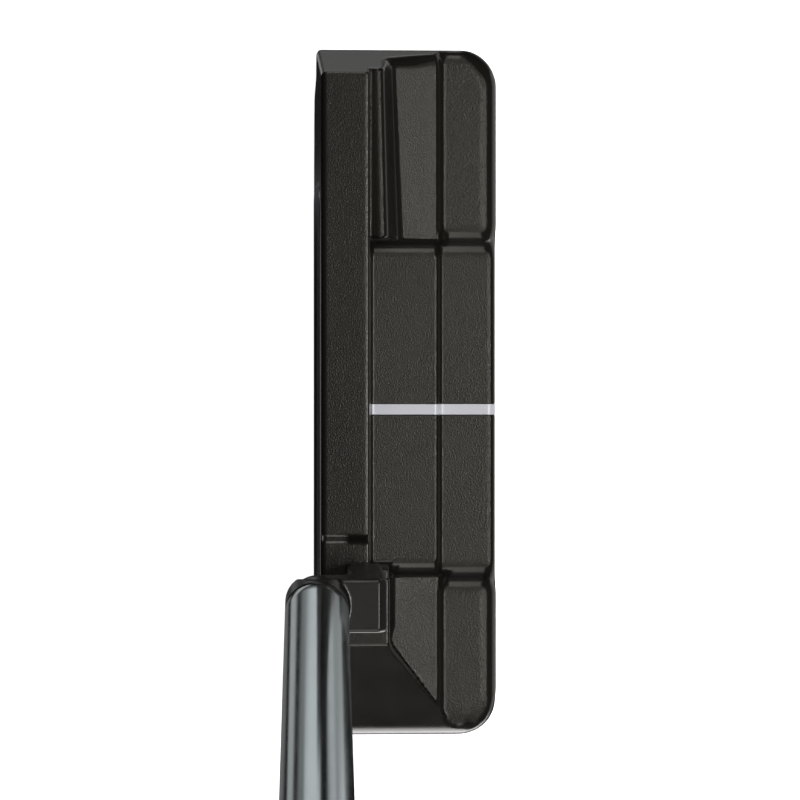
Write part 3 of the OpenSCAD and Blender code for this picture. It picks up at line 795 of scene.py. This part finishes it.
def polyline(name, points):
    """An open chain of edges through points in millimetres."""
    mesh = bpy.data.meshes.new(name)
    edges = [(i, i + 1) for i in range(len(points) - 1)]
    mesh.from_pydata((np.asarray(points) * MM).tolist(), edges, [])
    return mesh


def on_axis(mesh):
    """Moves a mesh from the shaft's own frame, axis up Z, to its place."""
    turn = Matrix.Rotation(LEAN, 4, "Y")
    mesh.transform(Matrix.Translation(Vector(AXIS_FOOT) * MM) @ turn)


def build_shaft():
    """The shaft, swept along its axis by a rule: a parallel tip, then an even taper to the butt."""
    material = dark_chrome()
    tree, given = node_tree("tapered_tube", (
        "Tip radius", "Butt radius", "Taper start", "Butt", "Foot"))
    curve = add(tree, "GeometryNodeMeshToCurve", {0: given["Geometry"]})
    height = add(tree, "ShaderNodeSeparateXYZ", {
        0: add(tree, "GeometryNodeInputPosition").outputs[0]}).outputs["Z"]
    radius = add(tree, "ShaderNodeMapRange", {
        "Value": height, "From Min": given["Taper start"], "From Max": given["Butt"],
        "To Min": given["Tip radius"], "To Max": given["Butt radius"]}).outputs[0]
    # The cut end is eased over its last third of a millimetre.
    above = add(tree, "ShaderNodeMath", {0: height, 1: given["Foot"]}, operation="SUBTRACT")
    ease = add(tree, "ShaderNodeMapRange", {
        "Value": above.outputs[0], "From Min": 0.0, "From Max": 0.35 * MM,
        "To Min": 0.18 * MM, "To Max": 0.0}, interpolation_type="SMOOTHSTEP")
    eased = add(tree, "ShaderNodeMath", {0: radius, 1: ease.outputs[0]}, operation="SUBTRACT")
    ring = add(tree, "GeometryNodeCurvePrimitiveCircle", {"Resolution": 96, "Radius": 1.0})
    tube = add(tree, "GeometryNodeCurveToMesh", {
        "Curve": curve.outputs[0], "Profile Curve": ring.outputs[0],
        "Scale": eased.outputs[0], "Fill Caps": True})
    smoothed = add(tree, "GeometryNodeSetShadeSmooth", {"Geometry": tube.outputs[0]})
    close_tree(tree, smoothed.outputs[0], material)
    stops = [TIP_T + rise for rise in (0, 0.1, 0.2, 0.35, 2)]
    stops += [*np.linspace(TIP_T + 12, TAPER_T, 24), *np.linspace(TAPER_T + 30, BUTT_T, 20)]
    shaft = grow("chrome_shaft", polyline("axis", [(0, 0, t) for t in stops]), tree, {
        "Tip radius": TIP_R * MM, "Butt radius": BUTT_R * MM, "Taper start": TAPER_T * MM,
        "Butt": BUTT_T * MM, "Foot": TIP_T * MM})
    on_axis(shaft.data)
    outward(shaft.data)
    finish_piece(shaft, material, "shaft")


def outward(mesh):
    """Merges doubled points and turns the faces outwards."""
    work = bmesh.new()
    work.from_mesh(mesh)
    bmesh.ops.remove_doubles(work, verts=work.verts, dist=1e-7)
    bmesh.ops.recalc_face_normals(work, faces=work.faces)
    work.to_mesh(mesh)
    work.free()


# ---- grip ----

# The angles of the points in each ring of the grip.
TURN = np.linspace(0, 2 * math.pi, 96, endpoint=False)


def grip_ring(t, angles, inset):
    """Points of the grip's section at distance t: a flat front, and a swell for the palms."""
    share = (t - GRIP_T) / (SKIN_T - GRIP_T)
    k = math.sin(math.pi / 2 * min(1, share / 0.82)) ** 2
    half = GRIP_TIP_R + k * 3.45 - inset
    flat = GRIP_TIP_R - 0.4 + k * 1.6 - inset
    back = GRIP_TIP_R + k * 8.7 - inset
    front = GRIP_TIP_R + k * 3.2 - inset
    x = np.where(np.cos(angles) > 0, back, front) * np.cos(angles)
    return np.stack([np.maximum(x, -flat), half * np.sin(angles), np.full_like(angles, t)], axis=1)


def circle(r, height, angles):
    """Points of a circle round the shaft's axis."""
    return np.stack([r * np.cos(angles), r * np.sin(angles), np.full_like(angles, height)], axis=1)


def loft(name, rings, closed_ends=True):
    """A closed skin through rings of points, each with the same count."""
    n = len(rings[0])
    last = (len(rings) - 1) * n
    faces = [(i + j, i + (j + 1) % n, i + n + (j + 1) % n, i + n + j)
             for i in range(0, last, n) for j in range(n)]
    if closed_ends:
        faces += [tuple(reversed(range(n))), tuple(range(last, last + n))]
    mesh = bpy.data.meshes.new(name)
    mesh.from_pydata((np.concatenate(rings) * MM).tolist(), [], faces)
    return mesh


def skin_mesh():
    """The grip's bare skin, with the points that carry a pad marked 1."""
    stops = np.linspace(CORE_T, SKIN_T, 90)
    end_inset, channel_half, channel_deep = 1.3, 1.3, 0.7
    rings = [grip_ring(CORE_T, TURN, end_inset)]
    for t in stops:
        # A shallow channel down the back takes the seam. The skin's ends are rolled in.
        to_end = min(t - CORE_T, SKIN_T - t)
        ring = grip_ring(t, TURN, 0.02 + 0.6 * (1 - smooth(to_end, 0, 2.0)))
        channel = np.clip(1 - np.abs(ring[:, 1]) / channel_half, 0, 1) * (np.cos(TURN) > 0)
        ring[:, 0] -= channel_deep * channel * smooth(to_end, 5, 9)
        rings.append(ring)
    rings.append(grip_ring(SKIN_T, TURN, end_inset))
    mesh = loft("grip_skin_base", rings)
    mesh.shade_smooth()
    marks = np.zeros((len(rings), len(TURN)))
    for i, t in enumerate(stops, 1):
        if t - CORE_T > 8 and SKIN_T - t > 6:
            # Every fourth point of a ring, shifted by half in the next, and none on the seam.
            for j in range(2 * (i % 2), len(TURN), 4):
                x, y, _ = rings[i][j]
                marks[i, j] = abs(y) > 2.6 or x < 0
    store(mesh, "pad", marks.ravel())
    return mesh


def build_skin():
    """The grip's skin. A rule sets a low six-sided pad on each of its marked points."""
    rubber = moulded("moulded_polyurethane_grip", "#1c1c1d", 0.62, 0.7, 0.06)
    tree, given = node_tree("grip_pads", ("Pad width", "Pad height"))
    mark = add(tree, "GeometryNodeInputNamedAttribute", {"Name": "pad"}, data_type="FLOAT")
    chosen = add(tree, "FunctionNodeCompare", {0: mark.outputs["Attribute"], 1: 0.5},
                 data_type="FLOAT", operation="GREATER_THAN")
    upright = add(tree, "FunctionNodeAlignRotationToVector", {
        "Vector": add(tree, "GeometryNodeInputNormal").outputs[0]}, axis="Z")
    stored = add(tree, "GeometryNodeCaptureAttribute", {"Geometry": given["Geometry"]})
    stored.capture_items.new("ROTATION", "Upright")
    tree.links.new(upright.outputs[0], stored.inputs[1])
    points = add(tree, "GeometryNodeMeshToPoints", {
        "Mesh": stored.outputs[0], "Selection": chosen.outputs[0]}, mode="VERTICES")
    pad = add(tree, "GeometryNodeMeshCone", {
        "Vertices": 6, "Side Segments": 1, "Radius Top": 0.6, "Radius Bottom": 1.0, "Depth": 1.0},
        fill_type="NGON")
    scale = add(tree, "ShaderNodeCombineXYZ", {
        "X": given["Pad width"], "Y": given["Pad width"], "Z": given["Pad height"]})
    pads = add(tree, "GeometryNodeInstanceOnPoints", {
        "Points": points.outputs[0], "Instance": pad.outputs[0], "Rotation": stored.outputs[1],
        "Scale": scale.outputs[0]})
    both = add(tree, "GeometryNodeJoinGeometry", {0: pads.outputs[0]})
    tree.links.new(given["Geometry"], both.inputs[0])
    close_tree(tree, both.outputs[0], rubber)
    skin = grow("grip_skin_pads", skin_mesh(), tree, {
        "Pad width": 0.75 * MM, "Pad height": 0.16 * MM})
    on_axis(skin.data)
    finish_piece(skin, rubber, "grip_skin")


def build_seam():
    """The stitched seam down the grip's back. A rule lays a stitch at each step along its path."""
    thread = moulded("waxed_polyester_thread", "#8b8d8f", 0.55, 0.25, 0.04, sheen=0.2)
    tree, given = node_tree("seam_stitches", ("Stitch pitch", "Stitch length", "Thread radius"))
    curve = add(tree, "GeometryNodeMeshToCurve", {0: given["Geometry"]})
    even = add(tree, "GeometryNodeResampleCurve", {
        "Curve": curve.outputs[0], "Length": given["Stitch pitch"]}, mode="LENGTH")
    along = add(tree, "GeometryNodeInputTangent")
    lay = add(tree, "FunctionNodeAlignRotationToVector", {"Vector": along.outputs[0]}, axis="Z")
    bead = add(tree, "GeometryNodeMeshUVSphere", {"Segments": 8, "Rings": 6, "Radius": 1.0})
    size = add(tree, "ShaderNodeCombineXYZ", {
        "X": given["Thread radius"], "Y": given["Thread radius"], "Z": given["Stitch length"]})
    stitches = add(tree, "GeometryNodeInstanceOnPoints", {
        "Points": even.outputs[0], "Instance": bead.outputs[0], "Rotation": lay.outputs[0],
        "Scale": size.outputs[0]})
    close_tree(tree, stitches.outputs[0], thread)
    path = [grip_ring(t, TURN[:1], 0.42)[0] for t in np.linspace(CORE_T + 9, CLUB_T - 14, 60)]
    seam = grow("seam_stitches", polyline("seam_path", path), tree, {
        "Stitch pitch": 3.4 * MM, "Stitch length": 1.45 * MM, "Thread radius": 0.38 * MM})
    seam.data.shade_smooth()
    on_axis(seam.data)
    finish_piece(seam, thread, "grip_seam_thread")


def build_tip_ring(rubber):
    """The ring at the grip's lower end, with three grooves round it."""
    bore, rim, groove = 7.6, GRIP_TIP_R - 0.4, GRIP_TIP_R - 0.75
    profile = [(bore, 0.0), (8.4, 0.02), (8.9, 0.35), (rim - 0.15, 1.0), (rim, 1.5)]
    for foot in (1.7, 3.0, 4.3):
        profile += [(rim, foot), (groove, foot + 0.15), (groove, foot + 0.5), (rim, foot + 0.65)]
    profile += [(rim, 6.0), (bore, 6.0)]
    angles = np.linspace(0, 2 * math.pi, 72, endpoint=False)
    rings = [circle(r, GRIP_T + h, angles) for r, h in profile]
    ring = place("grip_tip_ring_ribs", loft("grip_tip_ring_ribs", rings))
    ring.data.shade_smooth()
    soften(ring, 0.12)
    on_axis(ring.data)
    finish_piece(ring, rubber, "grip_tip_ring")


def build_end_cap(rubber):
    """The domed cap on the skin's outline, with a dished top and a vent hole."""
    dome = ((0.0, 0.0), (0.0, 2.9), (0.25, 3.5), (0.8, 4.0), (1.6, 4.35), (3.0, 4.6), (5.5, 4.85))
    dish = ((5.6, 4.95), (5.2, 4.45), (3.4, 4.4), (2.4, 5.0))
    vent = ((1.75, 5.0), (1.6, 4.7), (1.6, 0.0))
    rings = [grip_ring(SKIN_T, TURN, inset + 0.01) + (0, 0, h) for inset, h in dome]
    rings += [circle(r, SKIN_T + h, TURN) for r, h in dish + vent]
    mesh = loft("grip_cap_moulding", rings + rings[:1], closed_ends=False)
    cap = place("grip_cap_moulding", mesh)
    outward(mesh)
    mesh.shade_smooth()
    on_axis(mesh)
    finish_piece(cap, rubber, "grip_end_cap")


def build_grip():
    """The grip's skin with its raised pads, the stitched seam, the tip ring and the end cap."""
    build_skin()
    build_seam()
    rubber = moulded("moulded_nitrile_rubber", "#131314", 0.5, 0.5, 0.04)
    build_tip_ring(rubber)
    build_end_cap(rubber)


def soften(obj, width):
    """Bevels an object's hard edges and bakes the result into its mesh."""
    outward(obj.data)
    bevel = obj.modifiers.new("edges", "BEVEL")
    bevel.width = width * MM
    bevel.segments = 2
    bevel.limit_method = "ANGLE"
    bevel.angle_limit = math.radians(40)
    graph = bpy.context.evaluated_depsgraph_get()
    mesh = bpy.data.meshes.new_from_object(obj.evaluated_get(graph))
    obj.modifiers.clear()
    obj.data = mesh
    mesh.set_sharp_from_angle(angle=math.radians(50))


def dress_hidden():
    """Finishes of the pieces that keep their CAD shape, out of sight inside the others."""
    seal = moulded("nitrile_rubber_seal", "#171717", 0.6, 0.4, 0.03)
    finishes = {
        "insert_pad": moulded("cast_elastomer_pad", "#20303a", 0.55, 0.9, 0.03),
        "insert_adhesive": moulded("acrylic_adhesive_film", "#d8d8d0", 0.35, 0.6, 0.02),
        "toe_weight_washer": seal,
        "heel_weight_washer": seal,
        "hosel_epoxy": moulded("cured_epoxy", "#c9b98a", 0.25, 1.5, 0.02),
        "grip_core": moulded("foamed_rubber_core", "#303030", 0.9, 1.2, 0.12),
        "grip_tape": paper_tape(),
    }
    for node, material in finishes.items():
        dress(node, material)


# ---- stage ----

def build_room(look):
    """The studio round the object: dim above, and pale cards low down that the metal reflects."""
    world = bpy.data.worlds.new("studio")
    bpy.context.scene.world = world
    world.use_nodes = True
    tree = world.node_tree
    towards = add(tree, "ShaderNodeTexCoord").outputs["Generated"]
    x, y, z = add(tree, "ShaderNodeSeparateXYZ", {0: towards}).outputs

    def window(value, low, high, blur):
        """1 between low and high, with soft ends."""
        up = add(tree, "ShaderNodeMapRange", {
            "Value": value, "From Min": low - blur, "From Max": low + blur},
            interpolation_type="SMOOTHSTEP").outputs[0]
        down = add(tree, "ShaderNodeMapRange", {
            "Value": value, "From Min": high - blur, "From Max": high + blur, "To Min": 1.0,
            "To Max": 0.0}, interpolation_type="SMOOTHSTEP").outputs[0]
        return add(tree, "ShaderNodeMath", {0: up, 1: down}, operation="MULTIPLY").outputs[0]

    cards = (
        # radiance, X from and to, Y from and to, Z from and to: sides of each card's direction
        (look.room, -2, 2, -2, 2, 0.0, 2),
        (0.008, -2, 2, -2, 2, -2, 0.0),
        (0.2, -0.085, 0.4, -2, -0.03, -2, -0.9),
        (0.34, -0.66, -0.53, -0.6, 0.6, -0.95, -0.45),
        (1.05, -2, -0.66, -0.34, 0.09, -0.95, -0.40),
        (0.6, -0.40, -0.20, -0.6, -0.1, -0.98, -0.6),
        (0.45, -0.7, -0.26, 0.26, 0.6, -0.98, -0.6),
        (3.6, 0.5, 2, -0.8, 0.8, -0.84, -0.36),
        (0.7, -0.5, 0.5, 0.5, 2, -0.85, -0.2),
    )
    total = 0.0
    for radiance, x0, x1, y0, y1, z0, z1 in cards:
        card = radiance
        for share in (window(x, x0, x1, 0.03), window(y, y0, y1, 0.03), window(z, z0, z1, 0.02)):
            card = add(tree, "ShaderNodeMath", {0: card, 1: share},
                       operation="MULTIPLY").outputs[0]
        total = add(tree, "ShaderNodeMath", {0: total, 1: card}, operation="ADD").outputs[0]
    background = tree.nodes["Background"]
    background.inputs["Color"].default_value = (1, 1, 1, 1)
    tree.links.new(total, background.inputs["Strength"])


def build_stage():
    """Floor, lights and camera."""
    scene = bpy.context.scene
    scene.view_settings.view_transform = "Standard"
    scene.view_settings.look = "None"
    look = scene.putter_stage_look
    mesh = bpy.data.meshes.new("floor")
    square = [(-1, -1, 0), (1, -1, 0), (1, 1, 0), (-1, 1, 0)]
    mesh.from_pydata((np.array(square) * TABLE_HALF).tolist(), [], [(0, 1, 2, 3)])
    floor = place("floor", mesh)
    mesh.materials.append(surface(
        "pale_lit_table", Base_Color=linear("#f2f2f2"), Roughness=0.9,
        Emission_Color=(1, 1, 1, 1), Emission_Strength=look.floor_glow)[0])
    floor.visible_glossy = False
    floor.visible_shadow = False
    floor.visible_diffuse = False

    build_room(look)

    centre = Vector((0.0, 0.0, 0.015))
    # Degrees from +X towards +Y, degrees off the zenith, width and height, radiance.
    for name, azimuth, zenith, wide, high, radiance in (
            ("back_softbox", 86, 32, 1.1, 0.62, look.back_light),
            ("overhead_softbox", 78, 9, 0.72, 0.8, look.top_light),
            ("heel_strip", 0, 54, 0.3, 2.2, look.side_light),
            ("toe_strip", 180, 54, 0.3, 2.2, look.side_light)):
        a, t = math.radians(azimuth), math.radians(zenith)
        light = bpy.data.lights.new(name, "AREA")
        light.shape = "RECTANGLE"
        light.size, light.size_y = wide, high
        light.energy = radiance * wide * high * math.pi
        softbox = bpy.data.objects.new(name, light)
        direction = Vector((math.sin(t) * math.cos(a), math.sin(t) * math.sin(a), math.cos(t)))
        softbox.location = centre + direction * LIGHT_FAR
        softbox.rotation_euler = direction.to_track_quat("Z", "Y").to_euler()
        scene.collection.objects.link(softbox)

    lens = bpy.data.cameras.new("camera")
    lens.sensor_width = 36.0
    lens.lens = CAMERA_LENS
    lens.clip_start = 0.001
    camera = bpy.data.objects.new("camera", lens)
    forward = Vector((0, math.sin(CAMERA_TILT), -math.cos(CAMERA_TILT)))
    up = Vector((-1, 0, 0))
    turn = Matrix((forward.cross(up), up, -forward)).transposed().to_4x4()
    camera.matrix_world = Matrix.Translation(Vector(CAMERA_AT) * MM) @ turn
    scene.collection.objects.link(camera)
    scene.camera = camera


class PutterHeadLook(bpy.types.PropertyGroup):
    """Finish of the head."""

    coat: bpy.props.FloatVectorProperty(
        name="Coat", description="Colour of the black coat on the steel", subtype="COLOR",
        size=3, min=0, max=1, default=linear("#171512")[:3])
    grain: bpy.props.FloatProperty(
        name="Blast grain", description="Width of one dimple of the blasted flats",
        default=0.00026, min=0.0001, max=0.002, subtype="DISTANCE", unit="LENGTH")
    grain_depth: bpy.props.FloatProperty(
        name="Grain depth", description="How deep the blasted grain looks",
        default=0.9, min=0, max=1)


class PutterStageLook(bpy.types.PropertyGroup):
    """Strength of the studio's lights."""

    floor_glow: bpy.props.FloatProperty(
        name="Floor glow", description="Light that the pale table gives by itself",
        default=0.9, min=0)
    room: bpy.props.FloatProperty(
        name="Room light", description="Light from the room all round", default=0.04, min=0)
    back_light: bpy.props.FloatProperty(
        name="Back softbox", description="Radiance of the softbox behind the head",
        default=15.0, min=0)
    top_light: bpy.props.FloatProperty(
        name="Top light", description="Radiance of the small softbox overhead", default=0.85,
        min=0.0, max=20.0)
    side_light: bpy.props.FloatProperty(
        name="Side strips", description="Radiance of the strips at toe and heel",
        default=4.5, min=0)


class PUTTER_OT_stage(bpy.types.Operator):
    """Lay the floor and set the lights and the camera."""

    bl_idname = "putter.stage"
    bl_label = "Floor, lights and camera"

    def execute(self, context):
        build_stage()
        return {"FINISHED"}


class PUTTER_OT_head(bpy.types.Operator):
    """Build the black steel head."""

    bl_idname = "putter.head"
    bl_label = "Head"

    def execute(self, context):
        build_head()
        return {"FINISHED"}


class PUTTER_OT_neck(bpy.types.Operator):
    """Build the plumber's neck."""

    bl_idname = "putter.neck"
    bl_label = "Neck"

    def execute(self, context):
        build_neck()
        return {"FINISHED"}


class PUTTER_OT_insert(bpy.types.Operator):
    """Mill the face plate."""

    bl_idname = "putter.insert"
    bl_label = "Face insert"

    def execute(self, context):
        build_insert()
        return {"FINISHED"}


class PUTTER_OT_sight_line(bpy.types.Operator):
    """Paint the sight line."""

    bl_idname = "putter.sight_line"
    bl_label = "Sight line"

    def execute(self, context):
        build_sight_line()
        return {"FINISHED"}


class PUTTER_OT_weights(bpy.types.Operator):
    """Turn the two sole weights."""

    bl_idname = "putter.weights"
    bl_label = "Sole weights"

    def execute(self, context):
        steel = turned_steel()
        build_weight("toe_weight", "toe_weight_screw", steel)
        build_weight("heel_weight", "heel_weight_screw", steel)
        return {"FINISHED"}


class PUTTER_OT_shaft(bpy.types.Operator):
    """Sweep the shaft along its axis."""

    bl_idname = "putter.shaft"
    bl_label = "Shaft"

    def execute(self, context):
        build_shaft()
        return {"FINISHED"}


class PUTTER_OT_grip(bpy.types.Operator):
    """Build the grip with its pads, seam, ring and cap."""

    bl_idname = "putter.grip"
    bl_label = "Grip"

    def execute(self, context):
        build_grip()
        return {"FINISHED"}


class PUTTER_OT_hidden(bpy.types.Operator):
    """Finish the pieces inside the club."""

    bl_idname = "putter.hidden"
    bl_label = "Inner pieces"

    def execute(self, context):
        dress_hidden()
        return {"FINISHED"}


PIECES = (PUTTER_OT_stage, PUTTER_OT_head, PUTTER_OT_neck, PUTTER_OT_insert, PUTTER_OT_sight_line,
          PUTTER_OT_weights, PUTTER_OT_shaft, PUTTER_OT_grip, PUTTER_OT_hidden)


class PUTTER_PT_panel(bpy.types.Panel):
    """Lists the putter's pieces and looks in the sidebar."""

    bl_label = "Putter"
    bl_idname = "PUTTER_PT_panel"
    bl_space_type = "VIEW_3D"
    bl_region_type = "UI"
    bl_category = "Putter"

    def draw(self, context):
        for piece in PIECES:
            self.layout.operator(piece.bl_idname)
        for look in (context.scene.putter_head_look, context.scene.putter_stage_look):
            box = self.layout.box()
            for key in look.__annotations__:
                box.prop(look, key)


CLASSES = (PutterHeadLook, PutterStageLook) + PIECES + (PUTTER_PT_panel,)


def register():
    for cls in CLASSES:
        bpy.utils.register_class(cls)
    bpy.types.Scene.putter_head_look = bpy.props.PointerProperty(type=PutterHeadLook)
    bpy.types.Scene.putter_stage_look = bpy.props.PointerProperty(type=PutterStageLook)


def unregister():
    del bpy.types.Scene.putter_stage_look
    del bpy.types.Scene.putter_head_look
    for cls in reversed(CLASSES):
        bpy.utils.unregister_class(cls)


def main():
    register()
    for piece in PIECES:
        group, name = piece.bl_idname.split(".")
        getattr(getattr(bpy.ops, group), name)()


if __name__ == "__main__":
    main()
